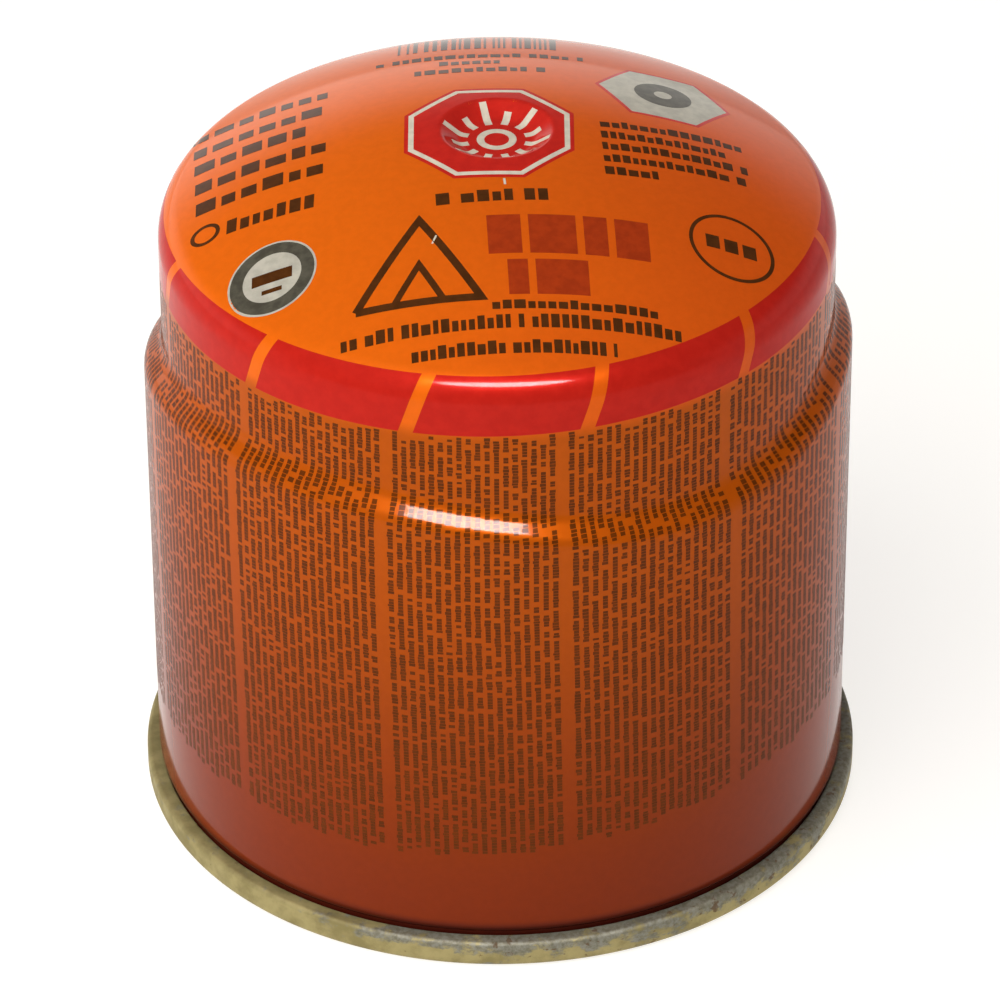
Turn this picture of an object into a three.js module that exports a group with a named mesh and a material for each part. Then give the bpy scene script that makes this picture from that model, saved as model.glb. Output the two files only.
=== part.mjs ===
// Pierceable gas canister: a drawn steel can with a domed crown, closed below by a seamed steel end.
// Millimetres, +Z up, origin at the centre of the rim's underside, front of the print towards -Y.
import * as THREE from 'three';

// Crown of the drawn body: a shallow dome, a rounded shoulder and a dished seat for the spike
const crownApex = 93.0; // where the dome would peak if it had no recess
const crownSphereRadius = 78.5;
const shoulderRadius = 5.1;
const recessRadius = 7.05;
const recessDepth = 1.6;
const recessWallSlope = 35; // degrees above level
const recessLipRadius = 0.8;
const recessFloorFillet = 1.5;

// Wall of the drawn body: a narrow neck, an S-shaped step and a wider straight wall
const bodyRadius = 43.4;
const stepWidening = 2.3; // how much narrower the neck's radius is
const stepArcRadius = 2.68;
const stepFlankSlope = 44; // of the straight flank between the two arcs, degrees from upright
const stepMiddle = 62.46;
const wallFoot = 5.0; // where the wall starts to draw in above the seam
const footTaper = 0.8;

// The step isn't level: drawing the can left it waving around the wall in four low orders
const stepSwing1 = 2.16;
const stepSwing2 = 1.59;
const stepSwing3 = 1.69;
const stepSwing4 = 0.73;
const stepPeak1 = 6.7; // degrees from the front, towards +X
const stepPeak2 = -64.4;
const stepPeak3 = -38.2;
const stepPeak4 = 3.2;

// Seamed end: a concave pressed disc whose edge is folded around the foot of the body
const seamFold = 1.8; // the plies outside the foot
const seamHeight = 3.7;
const seamOuterRound = 1.2;
const seamInnerRound = 0.9;
const seamTopRound = 0.6;
const seamCurl = 1.0; // metal under the foot of the body
const endSheet = 0.5;
const endApex = 13.5; // underside of the disc at the axis
const endSphereRadius = 118;
const endCornerRadius = 1.5;

// The body's foot stands in the seam's fold with a small clearance
const footSheet = 0.5;
const footDrawIn = 0.5;
const seamClearance = 0.3;

const segments = 72;
const radians = Math.PI / 180;

const neckRadius = bodyRadius - stepWidening;
const footOuterRadius = bodyRadius - footDrawIn;
const footInnerRadius = footOuterRadius - footSheet;
const foldInnerRadius = footInnerRadius - seamClearance;
const foldOuterRadius = footOuterRadius + seamClearance;
const seamRadius = foldOuterRadius + seamFold;
const chuckRadius = foldInnerRadius - endSheet;

// Points of an arc in the radius-height plane, both ends included; angles in degrees
function arc(radius, height, size, from, to, steps) {
  const points = [];
  for (let i = 0; i <= steps; i += 1) {
    const angle = (from + (to - from) * (i / steps)) * radians;
    points.push(new THREE.Vector2(radius + size * Math.cos(angle), height + size * Math.sin(angle)));
  }
  return points;
}

// Path of a domed disc with a rounded corner, from a given angle of its sphere out to its side wall
function domePath(apex, sphereRadius, wallRadius, cornerRadius, fromAngle, steps) {
  const centre = apex - sphereRadius;
  const cornerX = wallRadius - cornerRadius;
  const cornerZ = centre + Math.sqrt((sphereRadius - cornerRadius) ** 2 - cornerX ** 2);
  const joinAngle = Math.atan2(cornerZ - centre, cornerX) / radians;
  const dome = arc(0, centre, sphereRadius, fromAngle, joinAngle, steps);
  const corner = arc(cornerX, cornerZ, cornerRadius, joinAngle, 0, 6);
  return [...dome.slice(0, -1), ...corner];
}

// Dished recess in the crown, from the axis to its lip, with the angle where the lip joins the dome
function recessPath() {
  const centre = crownApex - crownSphereRadius;
  const lipReach = crownSphereRadius - recessLipRadius;
  const lipZ = centre + Math.sqrt(lipReach ** 2 - recessRadius ** 2);
  const lipAngle = Math.atan2(lipZ - centre, recessRadius) / radians;
  const lip = arc(recessRadius, lipZ, recessLipRadius, 90 + recessWallSlope, lipAngle, 4);
  const floorZ = centre + Math.sqrt(crownSphereRadius ** 2 - recessRadius ** 2) - recessDepth;
  const slope = recessWallSlope * radians;
  const filletRise = recessFloorFillet * (1 - Math.cos(slope));
  const wallRun = (lip[0].y - floorZ - filletRise) / Math.tan(slope);
  const floorRadius = lip[0].x - wallRun - recessFloorFillet * Math.sin(slope);
  const fillet = arc(floorRadius, floorZ + recessFloorFillet, recessFloorFillet, -90, recessWallSlope - 90, 4);
  return { points: [new THREE.Vector2(0, floorZ), ...fillet, ...lip.slice(0, -1)], lipAngle };
}

// S-shaped step of two equal arcs with a straight flank between them, from the neck down to the body
function stepPath() {
  const slope = stepFlankSlope * radians;
  const flank = (stepWidening - 2 * stepArcRadius * (1 - Math.cos(slope))) / Math.sin(slope);
  const height = 2 * stepArcRadius * Math.sin(slope) + flank * Math.cos(slope);
  const top = stepMiddle + height / 2;
  const bottom = stepMiddle - height / 2;
  const hollow = arc(neckRadius + stepArcRadius, top, stepArcRadius, 180, 180 + stepFlankSlope, 4);
  const bulge = arc(bodyRadius - stepArcRadius, bottom, stepArcRadius, stepFlankSlope, 0, 4);
  return [...hollow, ...bulge];
}

// How far the step is lifted at an angle around the can, counted in radians from the front
function stepLift(angle) {
  return stepSwing1 * Math.cos(angle - stepPeak1 * radians)
    + stepSwing2 * Math.cos(2 * (angle - stepPeak2 * radians))
    + stepSwing3 * Math.cos(3 * (angle - stepPeak3 * radians))
    + stepSwing4 * Math.cos(4 * (angle - stepPeak4 * radians));
}

// Turns a closed radius-height outline about the Z axis, lifting the points that wave
function turned(outline, waving) {
  const geometry = new THREE.LatheGeometry(outline, segments);
  const position = geometry.getAttribute('position');
  for (let i = 0; i < position.count; i += 1) {
    const column = Math.floor(i / outline.length) % segments;
    if (waving.has(outline[i % outline.length])) {
      position.setY(i, position.getY(i) + stepLift(column / segments * 2 * Math.PI));
    }
  }
  geometry.rotateX(Math.PI / 2);
  return geometry;
}

// The sealed vessel can't be seen into, so it is one solid; its foot is the thin wall in the seam
function drawnBody() {
  const recess = recessPath();
  const crown = domePath(crownApex, crownSphereRadius, neckRadius, shoulderRadius, recess.lipAngle, 6);
  const step = stepPath();
  const footBottom = seamCurl + seamClearance;
  const foot = [
    new THREE.Vector2(bodyRadius, wallFoot),
    new THREE.Vector2(footOuterRadius, wallFoot - footTaper),
    new THREE.Vector2(footOuterRadius, footBottom),
    new THREE.Vector2(footInnerRadius, footBottom),
  ];
  const offset = endSheet + seamClearance;
  const under = domePath(
    endApex + offset, endSphereRadius + offset, chuckRadius + offset, endCornerRadius + offset, 90, 6,
  );
  const outline = [...recess.points, ...crown, ...step, ...foot, ...under.reverse()];
  const material = new THREE.MeshStandardMaterial({ color: 0xd9541e, roughness: 0.28, metalness: 0.15 });
  const mesh = new THREE.Mesh(turned(outline.reverse(), new Set(step)), material);
  mesh.name = 'drawn_body';
  return mesh;
}

// Concave end: dome, chuck wall and the folded seam that is the canister's foot ring
function bottomEnd() {
  const under = domePath(endApex, endSphereRadius, chuckRadius, endCornerRadius, 90, 6);
  const seam = [
    ...arc(chuckRadius + seamInnerRound, seamInnerRound, seamInnerRound, 180, 270, 4),
    ...arc(seamRadius - seamOuterRound, seamOuterRound, seamOuterRound, -90, 0, 4),
    ...arc(seamRadius - seamTopRound, seamHeight - seamTopRound, seamTopRound, 0, 90, 3),
    new THREE.Vector2(foldOuterRadius, seamHeight),
    new THREE.Vector2(foldOuterRadius, seamCurl),
    new THREE.Vector2(foldInnerRadius, seamCurl),
  ];
  const upper = domePath(
    endApex + endSheet, endSphereRadius + endSheet, foldInnerRadius, endCornerRadius + endSheet, 90, 6,
  );
  const outline = [...under, ...seam, ...upper.reverse()];
  const material = new THREE.MeshStandardMaterial({ color: 0x9c9568, roughness: 0.4, metalness: 0.8 });
  const mesh = new THREE.Mesh(turned(outline, new Set()), material);
  mesh.name = 'bottom_end';
  return mesh;
}

const canister = new THREE.Group();
canister.add(drawnBody(), bottomEnd());

export default canister;
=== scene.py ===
import math
import random

import bmesh
import bpy
import numpy as np
from mathutils import Matrix, Vector


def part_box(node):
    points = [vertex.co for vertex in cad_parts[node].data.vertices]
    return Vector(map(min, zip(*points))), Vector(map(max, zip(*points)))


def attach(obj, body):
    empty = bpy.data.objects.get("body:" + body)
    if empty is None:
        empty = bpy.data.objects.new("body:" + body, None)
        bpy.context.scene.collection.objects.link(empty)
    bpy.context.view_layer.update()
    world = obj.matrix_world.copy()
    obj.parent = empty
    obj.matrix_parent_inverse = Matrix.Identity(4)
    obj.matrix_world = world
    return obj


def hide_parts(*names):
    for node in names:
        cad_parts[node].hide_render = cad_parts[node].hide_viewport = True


MM = 0.001
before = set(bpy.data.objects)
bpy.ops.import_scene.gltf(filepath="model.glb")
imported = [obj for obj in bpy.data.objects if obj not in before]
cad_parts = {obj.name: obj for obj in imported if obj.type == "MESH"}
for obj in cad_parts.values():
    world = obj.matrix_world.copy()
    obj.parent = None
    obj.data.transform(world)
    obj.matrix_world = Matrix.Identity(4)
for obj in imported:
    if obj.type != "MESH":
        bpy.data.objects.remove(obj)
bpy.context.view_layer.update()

# Sizes in millimetres. Radii come from the frame, the rest repeats the part's own values
BODY_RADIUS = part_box("drawn_body")[1][0] / MM
SEAM_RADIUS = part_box("bottom_end")[1][0] / MM
INK = 0.014
INK_OVER = 0.026
INK_SINK = 0.03
PART_APEX = 93.0
HEADROOM = 0.002
CROWN_APEX = PART_APEX - INK_OVER - HEADROOM  # low enough that the ink stays under the part's top
CROWN_SPHERE = 78.5
SHOULDER_RADIUS = 5.1
RECESS_RADIUS = 7.05
RECESS_DEPTH = 1.6
RECESS_SLOPE = 35.0
RECESS_LIP = 0.8
RECESS_FILLET = 1.5
STEP_WIDENING = 2.3
STEP_ARC = 2.68
STEP_SLOPE = 44.0
STEP_MIDDLE = 62.46
STEP_WAVES = ((1, 2.16, 6.7), (2, 1.59, -64.4), (3, 1.69, -38.2), (4, 0.73, 3.2))
WALL_FOOT = 5.0
FOOT_TAPER = 0.8
FOOT_DRAW_IN = 0.5
FOOT_SHEET = 0.5
SEAM_CLEARANCE = 0.3
SEAM_HEIGHT = 3.7
SEAM_OUTER_ROUND = 1.2
SEAM_INNER_ROUND = 0.9
SEAM_TOP_ROUND = 0.6
SEAM_CURL = 1.0
LIP_GAP = 0.1
LIP_ROUND = 0.3
LIP_DEPTH = 0.8
LIP_FOOT = 1.2
END_SHEET = 0.5
END_APEX = 13.5
END_SPHERE = 118.0
END_CORNER = 1.5
NECK_RADIUS = BODY_RADIUS - STEP_WIDENING
FOOT_OUTER = BODY_RADIUS - FOOT_DRAW_IN
FOOT_INNER = FOOT_OUTER - FOOT_SHEET
FOLD_INNER = FOOT_INNER - SEAM_CLEARANCE
FOLD_OUTER = FOOT_OUTER + SEAM_CLEARANCE
CHUCK_RADIUS = FOLD_INNER - END_SHEET
COLUMNS = 288  # faces around the two turned pieces
NECK_RING = 1.5  # below the shoulder, a level ring above the waving step


def arc(radius, height, size, start, end, steps):
    """Points of an arc in the radius-height plane, both ends included; angles in degrees."""
    turns = [math.radians(start + (end - start) * i / steps) for i in range(steps + 1)]
    return [(radius + size * math.cos(a), height + size * math.sin(a)) for a in turns]


def dome_path(apex, sphere, wall, corner, start, steps, corner_steps):
    """A domed disc with a rounded corner, from an angle of its sphere out to its side wall."""
    centre = apex - sphere
    corner_x = wall - corner
    corner_z = centre + math.sqrt((sphere - corner) ** 2 - corner_x**2)
    join = math.degrees(math.atan2(corner_z - centre, corner_x))
    dome = arc(0, centre, sphere, start, join, steps)
    return dome[:-1] + arc(corner_x, corner_z, corner, join, 0, corner_steps)


def recess_path():
    """The dished seat from the axis to its lip, and the sphere's angle where the lip joins it."""
    centre = CROWN_APEX - CROWN_SPHERE
    lip_z = centre + math.sqrt((CROWN_SPHERE - RECESS_LIP) ** 2 - RECESS_RADIUS**2)
    lip_angle = math.degrees(math.atan2(lip_z - centre, RECESS_RADIUS))
    lip = arc(RECESS_RADIUS, lip_z, RECESS_LIP, 90 + RECESS_SLOPE, lip_angle, 8)
    floor = centre + math.sqrt(CROWN_SPHERE**2 - RECESS_RADIUS**2) - RECESS_DEPTH
    slope = math.radians(RECESS_SLOPE)
    run = (lip[0][1] - floor - RECESS_FILLET * (1 - math.cos(slope))) / math.tan(slope)
    flat = lip[0][0] - run - RECESS_FILLET * math.sin(slope)
    fillet = arc(flat, floor + RECESS_FILLET, RECESS_FILLET, -90, RECESS_SLOPE - 90, 8)
    return [(0, floor), (flat * 0.5, floor)] + fillet + lip[:-1], lip_angle


def step_path():
    """The S-shaped step of two equal arcs and a straight flank, from the neck down to the body."""
    slope = math.radians(STEP_SLOPE)
    flank = (STEP_WIDENING - 2 * STEP_ARC * (1 - math.cos(slope))) / math.sin(slope)
    height = 2 * STEP_ARC * math.sin(slope) + flank * math.cos(slope)
    hollow = arc(NECK_RADIUS + STEP_ARC, STEP_MIDDLE + height / 2, STEP_ARC, 180, 180 + STEP_SLOPE, 10)
    bulge = arc(BODY_RADIUS - STEP_ARC, STEP_MIDDLE - height / 2, STEP_ARC, STEP_SLOPE, 0, 10)
    between = [tuple(a + (b - a) * i / 3 for a, b in zip(hollow[-1], bulge[0])) for i in (1, 2)]
    return hollow + between + bulge


def step_lift(phi):
    """How far the step is lifted at an angle around the can, in radians from the front."""
    return sum(swing * math.cos(n * (phi - math.radians(peak))) for n, swing, peak in STEP_WAVES)


RECESS, LIP_ANGLE = recess_path()
CROWN = dome_path(CROWN_APEX, CROWN_SPHERE, NECK_RADIUS, SHOULDER_RADIUS, LIP_ANGLE, 26, 20)
STEP = step_path()
TOP = RECESS + CROWN
SHOULDER_FOOT = CROWN[-1][1]


def surface_tables(path):
    """Arrays along a path: length run so far, radius, height, and the outward normal's two parts."""
    radius, height = np.array(path).T
    run = np.concatenate([[0], np.cumsum(np.hypot(np.diff(radius), np.diff(height)))])
    slope_r = np.gradient(radius, run)
    slope_z = np.gradient(height, run)
    return run, radius, height, -slope_z, slope_r


TOP_RUN, TOP_R, TOP_Z, TOP_NR, TOP_NZ = surface_tables(TOP)
STEP_RUN, STEP_R, STEP_Z, STEP_NR, STEP_NZ = (a[::-1] for a in surface_tables(STEP))


def crown_point(x, y):
    """Point and normal on the crown above x, y."""
    radius = math.hypot(x, y)
    across = float(np.interp(radius, TOP_R, TOP_NR)) / max(radius, 1e-6)
    z = float(np.interp(radius, TOP_R, TOP_Z))
    return Vector((x, y, z)), Vector((across * x, across * y, float(np.interp(radius, TOP_R, TOP_NZ))))


def wall_point(phi, z):
    """Point and normal on the neck, step or body at an angle and a height."""
    level = z - step_lift(phi)
    radius = float(np.interp(level, STEP_Z, STEP_R))
    out = float(np.interp(level, STEP_Z, STEP_NR))
    up = float(np.interp(level, STEP_Z, STEP_NZ))
    s, c = math.sin(phi), math.cos(phi)
    return Vector((radius * s, -radius * c, z)), Vector((out * s, -out * c, up))


def shoulder_point(phi, run):
    """Point and normal over the crown's edge and down the neck, by length run from the axis."""
    over = max(0.0, run - float(TOP_RUN[-1]))
    radius = float(np.interp(run, TOP_RUN, TOP_R))
    z = float(np.interp(run, TOP_RUN, TOP_Z)) - over
    out = float(np.interp(run, TOP_RUN, TOP_NR))
    up = float(np.interp(run, TOP_RUN, TOP_NZ))
    s, c = math.sin(phi), math.cos(phi)
    return Vector((radius * s, -radius * c, z)), Vector((out * s, -out * c, up))


def link(name, verts, faces, sharp=35.0):
    """A mesh object from points in millimetres, with outward faces and smooth shading."""
    mesh = bpy.data.meshes.new(name)
    mesh.from_pydata([tuple(c * MM for c in v) for v in verts], [], faces)
    shape = bmesh.new()
    shape.from_mesh(mesh)
    bmesh.ops.recalc_face_normals(shape, faces=shape.faces)
    shape.to_mesh(mesh)
    shape.free()
    mesh.shade_smooth()
    mesh.set_sharp_from_angle(angle=math.radians(sharp))
    piece = bpy.data.objects.new(name, mesh)
    bpy.context.scene.collection.objects.link(piece)
    return piece


def turned(name, outline, waving=()):
    """A closed outline from axis to axis, turned about Z; points in waving follow the step's wave."""
    waving = set(waving)
    verts, rings = [], []
    for point in outline:
        if point[0] == 0:
            rings.append([len(verts)])
            verts.append((0, 0, point[1]))
            continue
        rings.append(list(range(len(verts), len(verts) + COLUMNS)))
        for i in range(COLUMNS):
            phi = 2 * math.pi * i / COLUMNS
            z = point[1] + (step_lift(phi) if point in waving else 0)
            verts.append((point[0] * math.sin(phi), -point[0] * math.cos(phi), z))
    faces = []
    for low, high in zip(rings, rings[1:]):
        for i in range(COLUMNS):
            j = (i + 1) % COLUMNS
            if len(low) == 1:
                faces.append((low[0], high[i], high[j]))
            elif len(high) == 1:
                faces.append((low[i], high[0], low[j]))
            else:
                faces.append((low[i], high[i], high[j], low[j]))
    return link(name, verts, faces)


# Fineness of the ink's slabs, and the blocks that stand for print on the crown
FINE_FACE = 0.35
COARSE_FACE = 1.2
STROKE_FACE = 1.5
RECESS_ZONE = 11.0  # distance from the axis within which marks have fine faces
MITRE_LIMIT = 0.3
BLOCK_WIDTHS = (0.55, 1.05)
BLOCK_HEIGHTS = (1, 1, 0.78, 0.78)
BLOCK_WORD_GAP = 0.6


class Ink:
    """Thin closed slabs of ink that follow the surface under them."""

    def __init__(self, name, lift=INK):
        self.name, self.lift = name, lift
        self.verts, self.faces = [], []

    def layer(self, grid, height):
        """Adds one layer of a grid of (point, normal) and gives back its rows of vertex numbers."""
        rows = []
        for row in grid:
            rows.append(list(range(len(self.verts), len(self.verts) + len(row))))
            self.verts.extend(p + n * height for p, n in row)
        return rows

    def patch(self, grid, closed=False):
        """A slab over a grid of (point, normal); closed joins the last column to the first."""
        top, low = self.layer(grid, self.lift), self.layer(grid, -INK_SINK)
        n = len(grid[0])
        steps = [(j, (j + 1) % n) for j in range(n if closed else n - 1)]
        for a, b, c, d in zip(top, top[1:], low, low[1:]):
            for j, k in steps:
                self.faces.append((a[j], b[j], b[k], a[k]))
                self.faces.append((c[j], c[k], d[k], d[j]))
            if not closed:
                self.faces.append((a[0], c[0], d[0], b[0]))
                self.faces.append((a[-1], b[-1], d[-1], c[-1]))
        for j, k in steps:
            self.faces.append((top[0][j], top[0][k], low[0][k], low[0][j]))
            self.faces.append((top[-1][j], low[-1][j], low[-1][k], top[-1][k]))

    def field(self, centre, inner, outer, rings, steps, turn=0.0):
        """A ring or disc on the crown between two outlines that give a radius for an angle."""
        grid = []
        for i in range(rings + 1):
            row = []
            for j in range(steps):
                angle = 2 * math.pi * j / steps
                low, high = inner(angle), outer(angle)
                reach = low + (high - low) * i / rings
                x = centre[0] + reach * math.cos(angle + turn)
                row.append(crown_point(x, centre[1] + reach * math.sin(angle + turn)))
            grid.append(row)
        self.patch(grid, closed=True)

    def mark(self, centre, turn, left, right, low, high):
        """A straight block on the crown, in the row's own axes, turned about the row's start."""
        c, s = math.cos(turn), math.sin(turn)
        fine = FINE_FACE if math.hypot(*centre) < RECESS_ZONE else COARSE_FACE
        across = max(1, math.ceil((right - left) / fine))
        along = max(1, math.ceil((high - low) / fine))
        grid = []
        for i in range(along + 1):
            v = low + (high - low) * i / along
            row = [left + (right - left) * j / across for j in range(across + 1)]
            grid.append([crown_point(centre[0] + u * c - v * s, centre[1] + u * s + v * c) for u in row])
        self.patch(grid)

    def stroke(self, points, width):
        """A bent line of even width on the crown, mitred at its corners."""
        flat = [Vector(p) for p in points]
        sides = []
        for i, p in enumerate(flat):
            before = (p - flat[i - 1]).normalized() if i else None
            after = (flat[i + 1] - p).normalized() if i + 1 < len(flat) else None
            along = ((before or after) + (after or before)).normalized()
            across = Vector((-along.y, along.x))
            reach = width / 2 / max(MITRE_LIMIT, abs(along.dot(after or before)))
            sides.append((p - across * reach, p + across * reach))
        grid = []
        for (a, b), (c, d) in zip(sides, sides[1:]):
            pieces = max(1, round((c - a).length / STROKE_FACE))
            for i in range(pieces):
                t = i / pieces
                grid.append([crown_point(*a.lerp(c, t)), crown_point(*b.lerp(d, t))])
        grid.append([crown_point(*sides[-1][0]), crown_point(*sides[-1][1])])
        self.patch(grid)

    def row(self, start, turn, length, height, block, seed, words=0.14, gap=0.26):
        """A row of plain blocks in groups, in place of a line of print; turn is in degrees."""
        draw = random.Random(seed)
        turn = math.radians(turn)
        u = 0.0
        while u + block * 0.5 < length:
            if u > 0 and draw.random() < words:
                u += block * BLOCK_WORD_GAP
            wide = min(block * draw.uniform(*BLOCK_WIDTHS), length - u)
            tall = height * draw.choice(BLOCK_HEIGHTS)
            self.mark(start, turn, u, u + wide, 0, tall)
            u += wide + block * gap

    def done(self, material, slot):
        """The finished piece, riding on the canister."""
        piece = link(self.name, self.verts, self.faces)
        piece.data.materials.append(material)
        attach(piece, "root")
        return piece


def regular(sides, flat):
    """Radius for an angle of a regular polygon of that half width across flats, a corner at zero."""
    wedge = math.pi / sides
    return lambda angle: flat / math.cos((angle % (2 * wedge)) - wedge)


def level(radius):
    """Radius for an angle of a circle."""
    return lambda angle: radius


RANGE_SOCKETS = ("From Min", "From Max", "To Min", "To Max")


class Nodes:
    """Short hand for building a material's node tree."""

    def __init__(self, name):
        self.material = bpy.data.materials.new(name)
        self.material.use_nodes = True
        self.tree = self.material.node_tree
        self.shader = self.tree.nodes["Principled BSDF"]
        self.place = self.new("ShaderNodeTexCoord").outputs["Object"]

    def new(self, kind, **settings):
        node = self.tree.nodes.new(kind)
        for key, value in settings.items():
            setattr(node, key, value)
        return node

    def wire(self, value, socket):
        if isinstance(value, bpy.types.NodeSocket):
            self.tree.links.new(value, socket)
        else:
            socket.default_value = value

    def maths(self, operation, *values, clamp=False):
        node = self.new("ShaderNodeMath", operation=operation, use_clamp=clamp)
        for value, socket in zip(values, node.inputs):
            self.wire(value, socket)
        return node.outputs[0]

    def ramp(self, value, low, high, to_low=0.0, to_high=1.0):
        node = self.new("ShaderNodeMapRange", interpolation_type="SMOOTHSTEP")
        self.wire(value, node.inputs["Value"])
        for key, number in zip(RANGE_SOCKETS, (low, high, to_low, to_high)):
            self.wire(number, node.inputs[key])
        return node.outputs[0]

    def noise(self, scale, detail=3.0, roughness=0.5, place=None):
        node = self.new("ShaderNodeTexNoise")
        self.wire(place or self.place, node.inputs["Vector"])
        node.inputs["Scale"].default_value = scale
        node.inputs["Detail"].default_value = detail
        node.inputs["Roughness"].default_value = roughness
        return node.outputs["Fac"]

    def stretched(self, x, y, z):
        node = self.new("ShaderNodeMapping")
        self.wire(self.place, node.inputs["Vector"])
        node.inputs["Scale"].default_value = (x, y, z)
        return node.outputs["Vector"]

    def mix(self, factor, a, b, blend="MIX"):
        node = self.new("ShaderNodeMix", data_type="RGBA", blend_type=blend)
        self.wire(factor, node.inputs[0])
        self.wire(a, node.inputs[6])
        self.wire(b, node.inputs[7])
        return node.outputs[2]

    def xyz(self):
        node = self.new("ShaderNodeSeparateXYZ")
        self.wire(self.place, node.inputs[0])
        return node.outputs

    def bump(self, height, strength, distance):
        node = self.new("ShaderNodeBump")
        self.wire(height, node.inputs["Height"])
        node.inputs["Strength"].default_value = strength
        node.inputs["Distance"].default_value = distance
        self.wire(node.outputs["Normal"], self.shader.inputs["Normal"])

    def grey(self, value):
        node = self.new("ShaderNodeCombineColor")
        for socket in node.inputs[:3]:
            self.wire(value, socket)
        return node.outputs[0]

    def finish(self, base, roughness, metallic, coat=0.0, coat_roughness=0.1, specular=0.5):
        self.wire(base, self.shader.inputs["Base Color"])
        self.wire(roughness, self.shader.inputs["Roughness"])
        self.wire(metallic, self.shader.inputs["Metallic"])
        self.shader.inputs["Coat Weight"].default_value = coat
        self.shader.inputs["Coat Roughness"].default_value = coat_roughness
        self.shader.inputs["Coat IOR"].default_value = VARNISH_IOR
        self.shader.inputs["Specular IOR Level"].default_value = specular
        return self.material


def colour(red, green, blue):
    """A display colour of 0 to 255 as linear light."""
    parts = [c / 255 for c in (red, green, blue)]
    return tuple(c / 12.92 if c <= 0.04045 else ((c + 0.055) / 1.055) ** 2.4 for c in parts) + (1.0,)


VARNISH = {"coat": 0.86, "coat_roughness": 0.1, "specular": 0.0}
VARNISH_IOR = 1.165

# Heights and places in metres between which the lacquer's colour changes: painted shade down the wall,
# across the crown and at the foot, and painted light where the brighter crown begins
WALL_PAINTED_SHADE = (0.07, 0.004)
CROWN_PAINTED_SHADE = (-0.025, 0.035)
CROWN_PAINTED_LIGHT_EDGE = (0.0745, 0.077)
FOOT_SHADE = (0.006, 0.0046)


def varnished(n, base, metallic):
    """Lacquer or ink under one clear varnish, with a faint orange peel."""
    n.bump(n.noise(260, 1, 0.5), 0.03, 0.0002)
    return n.finish(base, n.ramp(n.noise(60, 3), 0.3, 0.7, 0.34, 0.42), metallic, **VARNISH)


def lacquer():
    """Orange lacquer over tinned steel with a faint mottle, and painted light and shade: darker and
    redder down the wall and towards the crown's right, brighter over the crown, deep brown at the wall's
    foot.
    """
    n = Nodes("orange_lacquer")
    x, _, z = n.xyz()
    # Painted shade: the wall darkens and reddens from its top down to its foot
    wall = n.mix(n.ramp(z, *WALL_PAINTED_SHADE), colour(176, 78, 9), colour(124, 43, 10))
    # Painted shade: the crown goes darker and redder towards its right side
    crown = n.mix(n.ramp(x, *CROWN_PAINTED_SHADE), colour(222, 99, 14), colour(212, 85, 18))
    # Painted light: the crown is a brighter copy of the wall's orange, as if lit from above; it begins at
    # the crown's edge
    base = n.mix(n.ramp(z, *CROWN_PAINTED_LIGHT_EDGE), wall, crown)
    shade = n.ramp(n.noise(900, 4, 0.6), 0.3, 0.7, 0.97, 1.03)
    base = n.mix(1.0, base, n.grey(shade), "MULTIPLY")
    # Painted shade with some grime: the wall's foot goes deep brown in the crease just above the seam
    base = n.mix(n.ramp(z, *FOOT_SHADE), base, colour(72, 22, 12))
    return varnished(n, base, 0.1)


def ink(name, shade, deep, metallic=0.06):
    """One printed colour under the same varnish, a little uneven."""
    n = Nodes(name)
    base = n.mix(n.ramp(n.noise(700, 4, 0.6), 0.3, 0.7), colour(*shade), colour(*deep))
    return varnished(n, base, metallic)


def tinplate():
    """Gold-lacquered tinned steel, rubbed grey in patches along the seam's upper edge, with rust, and
    painted shade with grime darkening that edge.
    """
    n = Nodes("worn_tinplate")
    x, _, z = n.xyz()
    gold = n.mix(n.ramp(n.noise(260, 5, 0.6), 0.35, 0.65), colour(160, 147, 98), colour(132, 120, 75))
    patch = n.noise(1.0, 6, 0.72, n.stretched(260, 260, 520))
    edge = n.ramp(z, 0.0014, 0.0034, 0.0, 0.17)
    side = n.ramp(x, -0.036, 0.0, -0.12, 0.08)
    rubbed = n.ramp(n.maths("ADD", n.maths("ADD", patch, edge), side), 0.6, 0.72, 0.0, 0.85)
    metal = n.mix(n.ramp(n.noise(1400, 4, 0.7), 0.35, 0.65), colour(128, 128, 120), colour(96, 94, 82))
    base = n.mix(rubbed, gold, metal)
    spots = n.noise(1.0, 3, 0.6, n.stretched(620, 620, 900))
    specks = n.ramp(n.maths("ADD", spots, n.ramp(x, -0.03, 0.02, -0.05, 0.03)), 0.63, 0.7)
    base = n.mix(n.maths("MULTIPLY", specks, 0.75), base, colour(92, 62, 26))
    # Painted shade with grime: patchy dark brown along the seam's top edge, in the crease under the
    # wall's foot
    grime_and_shade = n.ramp(z, 0.003, 0.0036, 0.0, 0.35)
    base = n.mix(n.maths("MULTIPLY", grime_and_shade, n.noise(400, 4, 0.6)), base, colour(66, 50, 30))
    rough = n.maths("ADD", n.ramp(n.noise(300, 4), 0.3, 0.7, 0.55, 0.7), n.maths("MULTIPLY", specks, 0.2))
    metallic = n.maths("SUBTRACT", 0.3, n.maths("MULTIPLY", specks, 0.25))
    n.bump(n.noise(900, 4, 0.6), 0.35, 0.0001)
    return n.finish(base, rough, metallic, specular=0.25)


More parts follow.
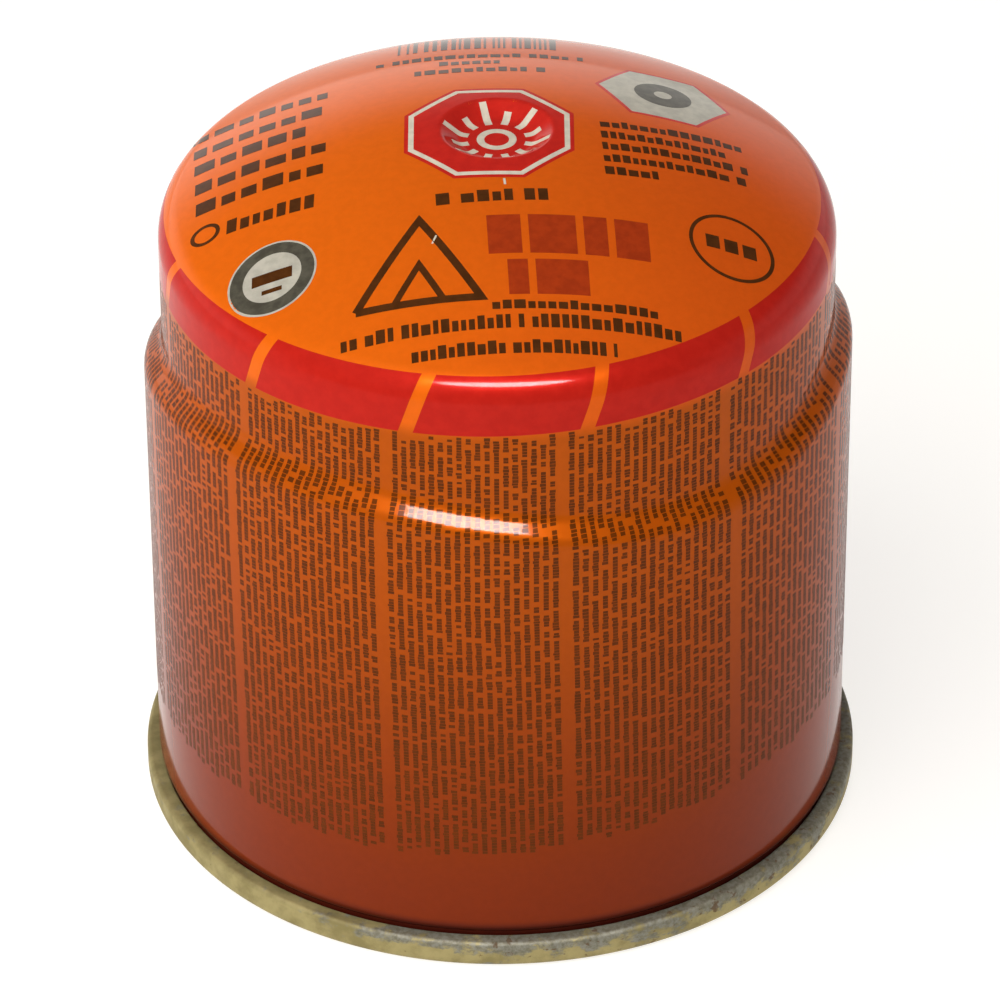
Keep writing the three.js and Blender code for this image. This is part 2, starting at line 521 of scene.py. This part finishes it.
def build_shell(material):
    """The drawn body: crown, recess, shoulder, neck, waving step, wall, foot and hidden underside."""
    foot = [
        (BODY_RADIUS, WALL_FOOT),
        (BODY_RADIUS - 0.04, WALL_FOOT - 0.25),
        (FOOT_OUTER + 0.12, WALL_FOOT - FOOT_TAPER * 0.9),
        (FOOT_OUTER, WALL_FOOT - FOOT_TAPER * 1.1),
        (FOOT_OUTER, SEAM_CURL + SEAM_CLEARANCE),
        (FOOT_INNER, SEAM_CURL + SEAM_CLEARANCE),
    ]
    gap = END_SHEET + SEAM_CLEARANCE
    under = dome_path(END_APEX + gap, END_SPHERE + gap, CHUCK_RADIUS + gap, END_CORNER + gap, 90, 12, 8)
    under[0] = (0, under[0][1])
    neck = [(NECK_RADIUS, SHOULDER_FOOT - NECK_RING)]
    shell = turned("drawn_shell", TOP + neck + STEP + foot + under[::-1], STEP)
    shell.data.materials.append(material)
    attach(shell, "root")
    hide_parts("drawn_body")


def build_end(material):
    """The pressed end: concave disc, chuck wall and the folded seam."""
    under = dome_path(END_APEX, END_SPHERE, CHUCK_RADIUS, END_CORNER, 90, 16, 10)
    under[0] = (0, under[0][1])
    top_round = arc(SEAM_RADIUS - SEAM_TOP_ROUND, SEAM_HEIGHT - SEAM_TOP_ROUND, SEAM_TOP_ROUND, 0, 90, 8)
    lip = FOOT_OUTER + LIP_GAP
    seam = (
        arc(CHUCK_RADIUS + SEAM_INNER_ROUND, SEAM_INNER_ROUND, SEAM_INNER_ROUND, 180, 270, 10)
        + arc(SEAM_RADIUS - SEAM_OUTER_ROUND, SEAM_OUTER_ROUND, SEAM_OUTER_ROUND, -90, 0, 12)
        + top_round
        + arc(lip + LIP_ROUND, SEAM_HEIGHT - LIP_ROUND, LIP_ROUND, 90, 180, 5)
        + [(lip, SEAM_HEIGHT - LIP_DEPTH), (FOLD_OUTER, SEAM_HEIGHT - LIP_FOOT)]
        + [(FOLD_OUTER, SEAM_CURL), (FOLD_INNER, SEAM_CURL)]
    )
    apex, sphere, corner = (size + END_SHEET for size in (END_APEX, END_SPHERE, END_CORNER))
    upper = dome_path(apex, sphere, FOLD_INNER, corner, 90, 16, 10)
    upper[0] = (0, upper[0][1])
    end = turned("seamed_end", under + seam + upper[::-1])
    end.data.materials.append(material)
    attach(end, "root")
    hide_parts("bottom_end")


# Red band over the shoulder, cut by slanted gaps
BAND_GAPS = 12
BAND_PHASE = -15.3
BAND_SLANT = 3.5
BAND_GAP = 2.5
BAND_CENTRE = (-0.6, 0.78)
BAND_RADIUS = 39.78
BAND_FOOT = 75.5
BAND_TILT = 0.85


def band_foot(phi):
    """Height of the band's lower edge at an angle: a line a little off level."""
    return BAND_FOOT + BAND_TILT * math.sin(phi + math.radians(5))


def band_top(phi):
    """Radius of the band's upper edge at an angle: a circle set a little off the axis."""
    along = BAND_CENTRE[0] * math.sin(phi) - BAND_CENTRE[1] * math.cos(phi)
    across = BAND_CENTRE[0] * math.cos(phi) + BAND_CENTRE[1] * math.sin(phi)
    return along + math.sqrt(BAND_RADIUS**2 - across**2)


def build_band(material):
    """The red band in twelve fields, from its upper circle over the shoulder and down the neck."""
    band = Ink("red_band")
    rows, columns = 22, 26
    pitch = 360 / BAND_GAPS
    for k in range(BAND_GAPS):
        start = BAND_PHASE + pitch * k + BAND_GAP / 2
        grid = []
        for i in range(rows + 1):
            t = i / rows
            row = []
            for j in range(columns + 1):
                phi = math.radians(start + (pitch - BAND_GAP) * j / columns + BAND_SLANT * (1 - t))
                top = float(np.interp(band_top(phi), TOP_R, TOP_RUN))
                foot = float(TOP_RUN[-1]) + SHOULDER_FOOT - band_foot(phi)
                row.append(shoulder_point(phi, top + (foot - top) * t))
            grid.append(row)
        band.patch(grid)
    band.done(material, "lacquered_steel")


# Fine print on the wall: columns of upright lines, each line a string of tiny blocks in word-like groups
TEXT_COLUMNS = 12
TEXT_PHASE = -14.87
TEXT_DRIFT = 4.0
TEXT_DRIFT_PHASE = 50.0
TEXT_MARGIN = 0.054
TEXT_LINES = 18
TEXT_LEAN = -0.024
TEXT_LEAN_FROM = 20.0
TEXT_LEAN_TO = 52.0
TEXT_TOP_GAP = 0.15
LETTER = 0.42
LETTER_GAP = 0.06
LETTER_TALL = 0.76
LETTER_SHORT = 0.62
WORD_GAP = 0.42
WORD_LENGTHS = (1, 2, 2, 3, 4, 5, 6, 7, 8, 9, 11)
WORD_GAPS = (0.8, 1, 1, 1.7)
TEXT_FOOT = 17.0
TEXT_FOOT_TILT = 2.2
TEXT_FOOT_WAVE = 0.5
STEP_REACH = 3.0  # height either side of the step within which blocks are bent over it


def text_start(column):
    """Angle in degrees where a column of fine print starts; the columns aren't quite evenly spaced."""
    even = 360 / TEXT_COLUMNS * column
    return TEXT_PHASE + even - TEXT_DRIFT * math.sin(math.radians(even + TEXT_DRIFT_PHASE))


def text_foot(phi):
    """Height where the lines of fine print start at an angle: tilted, and waving three times round."""
    tilt = TEXT_FOOT_TILT * math.sin(phi - math.radians(5))
    return TEXT_FOOT + tilt + TEXT_FOOT_WAVE * math.cos(3 * (phi - math.radians(45)))


def build_word(page, draw, middle, z, top):
    """One group of blocks upwards from z; gives back the height where the next group starts."""
    letters = draw.choice(WORD_LENGTHS)
    for _ in range(letters):
        size = LETTER * draw.uniform(0.65, 1.1)
        if z + size > top:
            return top
        tall = draw.choice((LETTER_TALL, LETTER_SHORT, LETTER_SHORT))
        left = -LETTER_SHORT / 2 - (tall - LETTER_SHORT) * draw.choice((0.9, 0.5))
        lean = math.radians(TEXT_LEAN * (min(z, TEXT_LEAN_TO) - TEXT_LEAN_FROM))
        wide = [middle + lean + a / BODY_RADIUS for a in (left, left + tall)]
        bends = abs(z - STEP_MIDDLE - step_lift(middle)) < STEP_REACH
        heights = [z + size * i / 3 for i in range(4)] if bends else [z, z + size]
        page.patch([[wall_point(phi, v) for phi in wide] for v in heights])
        z += size + LETTER_GAP
    return z + WORD_GAP * draw.choice(WORD_GAPS)


def build_fine_print(material):
    """The twelve columns in four pieces of three, each column with its own seed."""
    for quarter in range(4):
        page = Ink(f"fine_print_{quarter + 1}")
        for k in range(quarter * 3, quarter * 3 + 3):
            draw = random.Random(100 + k)
            start, width = text_start(k), text_start(k + 1) - text_start(k)
            for i in range(TEXT_LINES):
                share = TEXT_MARGIN + (1 - 2 * TEXT_MARGIN) * i / (TEXT_LINES - 1)
                middle = math.radians(start + width * share)
                z = text_foot(middle) + draw.uniform(-0.4, 0.9)
                top = band_foot(middle) - TEXT_TOP_GAP - draw.choice((0, 0, 0.6))
                while z < top - LETTER:
                    z = build_word(page, draw, middle, z, top)
        page.done(material, "lacquered_steel")


# Fields on the crown, and the bars at its back
OCTAGON_CENTRE = (-0.9, -0.4)
OCTAGON_FLAT = 10.2
HEXAGON_CENTRE = (20.3, 13.4)
HEXAGON_FLAT = 7.2
DISC_CENTRE = (-26.6, -21.3)
DISC_RADIUS = 5.3
RING_CENTRE = (27.8, -16.6)
RING_RADIUS = 5.1
BARS_FROM = -12.2
BARS_TO = 7.4
BARS_FOOT = 26.0
BARS_TALL = 9.5
BAR_WIDTHS = (0.3, 0.3, 0.55, 0.8)
BAR_SPACES = (0.35, 0.5, 0.8)


def build_seat_mark(red, white):
    """The red eight-sided field, its white edge line, and a plain ring with rays in the seat."""
    eighth = math.pi / 8
    edge = (regular(8, OCTAGON_FLAT - 1.15), regular(8, OCTAGON_FLAT - 0.5))
    red.field(OCTAGON_CENTRE, level(0.02), regular(8, OCTAGON_FLAT), 60, 160, eighth)
    white.field(OCTAGON_CENTRE, *edge, 3, 160, eighth)
    white.field((0, 0), level(1.5), level(2.4), 2, 48)
    for i in range(12):
        angle = 2 * math.pi * (i + 0.5) / 12
        foot = (3.5 * math.cos(angle), 3.5 * math.sin(angle))
        white.mark(foot, angle - math.pi / 2, -0.45, 0.45, 0, 3.1 if i % 2 else 2.0)


def build_badges(red, pale, dark, grey):
    """A pale field with a red edge, a pale disc and a plain ring, each with simple shapes in it."""
    red.field(HEXAGON_CENTRE, regular(6, HEXAGON_FLAT - 0.45), regular(6, HEXAGON_FLAT), 2, 96)
    pale.field(HEXAGON_CENTRE, level(0.02), regular(6, HEXAGON_FLAT - 0.45), 12, 96)
    grey.field(HEXAGON_CENTRE, level(1.1), level(3.5), 5, 48)
    pale.field(DISC_CENTRE, level(0.02), level(DISC_RADIUS), 8, 64)
    grey.field(DISC_CENTRE, level(3.5), level(DISC_RADIUS - 0.25), 3, 64)
    dark.mark(DISC_CENTRE, 0, -2.4, 2.4, -0.8, 0.8)
    dark.mark(DISC_CENTRE, 0, -1.2, 1.2, -2.3, -1.7)
    dark.field(RING_CENTRE, level(RING_RADIUS - 0.45), level(RING_RADIUS), 2, 72)
    for x in (-3.0, -0.8, 1.4):
        dark.mark((RING_CENTRE[0] + x, RING_CENTRE[1] - 1), 0.07, 0, 1.6, 0, 2)


def build_emblem(dark, brown):
    """A plain tent shape in outline with two rows of blocks and a thin row beside it."""
    dark.stroke([(-16.6, -29.6), (-9.2, -17.4), (-1.9, -29.2), (-16.6, -29.6)], 0.95)
    dark.stroke([(-12.0, -29.2), (-9.2, -24.2), (-6.4, -29.1)], 0.8)
    for x, wide in ((-1.0, 4.0), (3.9, 5.6), (10.4, 2.8), (14.1, 4.0)):
        brown.mark((x, -23.2 + 0.05 * x), 0.05, 0, wide, 0, 6.0)
    for x, wide in ((1.4, 2.4), (4.7, 6.2)):
        brown.mark((x, -29.0 + 0.05 * x), 0.05, 0, wide, 0, 4.9)
    dark.row((-0.6, -30.9), 2.6, 19.4, 1.15, 1.5, 82, 0.0, 0.2)


def build_rows(dark):
    """Rows of plain blocks where the crown has lines of print, and a field of upright bars."""
    for i, (y, length) in enumerate(((13.2, 16.6), (8.3, 16.4), (3.7, 13.6), (-1.2, 16.4), (-5.8, 17.0))):
        dark.row((-37.2 + 0.25 * i, y), 0.5, length, 2.5, 2.4, 50 + i, 0.0, 0.3)
    dark.field((-34.9, -10.1), level(1.3), level(1.8), 1, 32)
    dark.row((-32.3, -11.6), -1, 11.6, 2.4, 1.5, 61, 0.1, 0.3)
    dark.row((-7.2, -15.2), 3.3, 14.2, 2.0, 1.6, 62, 0.1, 0.25)
    for i, length in enumerate((17.2, 15.4, 17.6, 17.5, 6.4)):
        dark.row((12.5 + 0.12 * i, 1.4 - 2.5 * i), 5.6, length, 1.5, 1.15, 70 + i, 0.1, 0.26)
    dark.row((-18.3, -34.2), 2.8, 40.0, 1.7, 1.05, 80, 0.18, 0.3)
    dark.row((-10.0, -36.9), 2.8, 24.0, 1.6, 1.0, 81, 0.1, 0.28)
    dark.row((-14.8, 21.0), 1, 25.6, 1.7, 1.2, 83, 0.14, 0.3)
    dark.row((-7.0, 18.4), 1, 7.6, 1.6, 1.2, 84, 0.12, 0.3)
    dark.row((-10.0, 15.4), 1, 16.6, 1.6, 1.3, 85, 0.14, 0.3)
    bars = random.Random(90)
    x = BARS_FROM
    while x < BARS_TO:
        wide = bars.choice(BAR_WIDTHS)
        dark.mark((x, BARS_FOOT), 0, 0, wide, 0, BARS_TALL)
        x += wide + bars.choice(BAR_SPACES)


def build_pale_specks(white):
    """Two tiny pale specks on the crown, in the white ink."""
    white.mark((0.95, -11.9), 0.1, -0.12, 0.16, 0, 1.1)
    white.mark((-7.55, -21.3), 1.2, 0, 1.3, 0, 0.22)


def build_crown_print(inks):
    """The crown's print in plain shapes, placed in millimetres from the axis as seen from above."""
    red, pale, brown = Ink("crown_red"), Ink("crown_pale"), Ink("crown_brown")
    white, dark, grey = (Ink(f"crown_{name}", INK_OVER) for name in ("white", "dark", "grey"))
    build_seat_mark(red, white)
    build_badges(red, pale, dark, grey)
    build_emblem(dark, brown)
    build_rows(dark)
    build_pale_specks(white)
    for page in (red, pale, brown, white, dark, grey):
        page.done(inks[page.name], "lacquered_steel")


# Camera of the photograph: where it looks, how far off it is and its lens, from the outline's fit
CAMERA_AIM = (0.15, 0.0, 38.63)
CAMERA_DISTANCE = 814.46
CAMERA_ELEVATION = 34.27
CAMERA_ROLL = -0.3338
CAMERA_LENS = 235.14


def build_camera():
    """A long lens in front and above, rolled a little as the photograph is."""
    down = math.radians(CAMERA_ELEVATION)
    roll = math.radians(CAMERA_ROLL)
    ahead = Vector((0, math.cos(down), -math.sin(down)))
    level_up = Vector((0, math.sin(down), math.cos(down)))
    right = Vector((math.cos(roll), 0, 0)) + level_up * math.sin(roll)
    up = level_up * math.cos(roll) - Vector((math.sin(roll), 0, 0))
    place = (Vector(CAMERA_AIM) - ahead * CAMERA_DISTANCE) * MM
    data = bpy.data.cameras.new("camera")
    data.lens, data.sensor_width = CAMERA_LENS, 36.0
    data.clip_start, data.clip_end = 0.05, 20.0
    camera = bpy.data.objects.new("camera", data)
    camera.matrix_world = Matrix((right, up, -ahead)).transposed().to_4x4()
    camera.matrix_world.translation = place
    bpy.context.scene.collection.objects.link(camera)
    bpy.context.scene.camera = camera


# Lights
KEY_POWER = 17.5
STRIP_POWER = 31
FLOOR_GLOW = 0.78


def area_light(name, azimuth, elevation, distance, size, power):
    """A soft box that looks at the canister; azimuth 0 is in front, positive towards +X."""
    a, e = math.radians(azimuth), math.radians(elevation)
    way = Vector((math.sin(a) * math.cos(e), -math.cos(a) * math.cos(e), math.sin(e)))
    data = bpy.data.lights.new(name, "AREA")
    data.shape, data.size, data.size_y = "ELLIPSE", *size
    data.energy = power
    light = bpy.data.objects.new(name, data)
    light.location = Vector((0, 0, 0.05)) + way * distance
    light.rotation_euler = (-way).to_track_quat("-Z", "Y").to_euler()
    bpy.context.scene.collection.objects.link(light)
    return light


def build_world():
    """White surroundings low behind and beside the canister, dim overhead and in front."""
    world = bpy.data.worlds.new("studio")
    world.use_nodes = True
    tree = world.node_tree
    place = tree.nodes.new("ShaderNodeTexCoord").outputs["Generated"]
    split = tree.nodes.new("ShaderNodeSeparateXYZ")
    tree.links.new(place, split.inputs[0])

    def ramp(value, low, high, to_low, to_high):
        node = tree.nodes.new("ShaderNodeMapRange")
        node.interpolation_type = "SMOOTHSTEP"
        tree.links.new(value, node.inputs["Value"])
        for key, number in zip(RANGE_SOCKETS, (low, high, to_low, to_high)):
            node.inputs[key].default_value = number
        return node.outputs[0]

    def times(a, b):
        node = tree.nodes.new("ShaderNodeMath")
        node.operation = "MULTIPLY"
        tree.links.new(a, node.inputs[0])
        tree.links.new(b, node.inputs[1])
        return node.outputs[0]

    low_down = ramp(split.outputs[2], 0.15, 0.5, 2.1, 0.15)
    behind = ramp(split.outputs[1], -0.6, 0.1, 0.1, 1.0)
    leftward = ramp(split.outputs[0], 0.7, -0.5, 0.65, 1.0)
    strength = times(times(low_down, behind), leftward)
    tree.links.new(strength, tree.nodes["Background"].inputs[1])
    tree.nodes["Background"].inputs[0].default_value = (1, 0.97, 0.93, 1)
    bpy.context.scene.world = world


def build_floor():
    """A wide pale floor that glows a little, so that it stays near white in the picture."""
    reach = 6.0
    mesh = bpy.data.meshes.new("floor")
    corners = [(-reach, -reach, 0), (reach, -reach, 0), (reach, reach, 0), (-reach, reach, 0)]
    mesh.from_pydata(corners, [], [(0, 1, 2, 3)])
    floor = bpy.data.objects.new("floor", mesh)
    n = Nodes("pale_floor")
    shade = n.mix(n.ramp(n.noise(3, 3), 0.3, 0.7), (0.38, 0.37, 0.355, 1), (0.4, 0.39, 0.375, 1))
    n.shader.inputs["Emission Color"].default_value = (1, 0.98, 0.95, 1)
    n.shader.inputs["Emission Strength"].default_value = FLOOR_GLOW
    floor.data.materials.append(n.finish(shade, 0.9, 0.0, specular=0.0))
    bpy.context.scene.collection.objects.link(floor)


def build_studio():
    """A large overhead box gives the light, and a strip in front shows only in the varnish."""
    overhead = area_light("overhead", -38, 49, 1.2, (1.3, 1.3), KEY_POWER)
    overhead.visible_glossy = False
    strip = area_light("strip", 2, 51, 1.0, (0.6, 0.18), STRIP_POWER)
    strip.visible_diffuse = False
    build_world()
    build_floor()
    bpy.context.scene.view_settings.view_transform = "Standard"


build_camera()
build_studio()
build_shell(lacquer())
build_end(tinplate())
build_band(ink("red_ink", (186, 34, 24), (177, 30, 21)))
build_fine_print(ink("fine_ink", (104, 48, 10), (88, 42, 10)))
build_crown_print(
    {
        "crown_red": ink("octagon_ink", (200, 40, 30), (188, 36, 28)),
        "crown_white": ink("white_ink", (222, 212, 192), (206, 196, 176)),
        "crown_pale": ink("pale_ink", (190, 184, 168), (172, 166, 152)),
        "crown_dark": ink("dark_ink", (84, 46, 18), (70, 38, 14)),
        "crown_grey": ink("grey_ink", (88, 84, 72), (70, 66, 56)),
        "crown_brown": ink("brown_ink", (172, 58, 20), (154, 50, 18)),
    }
)
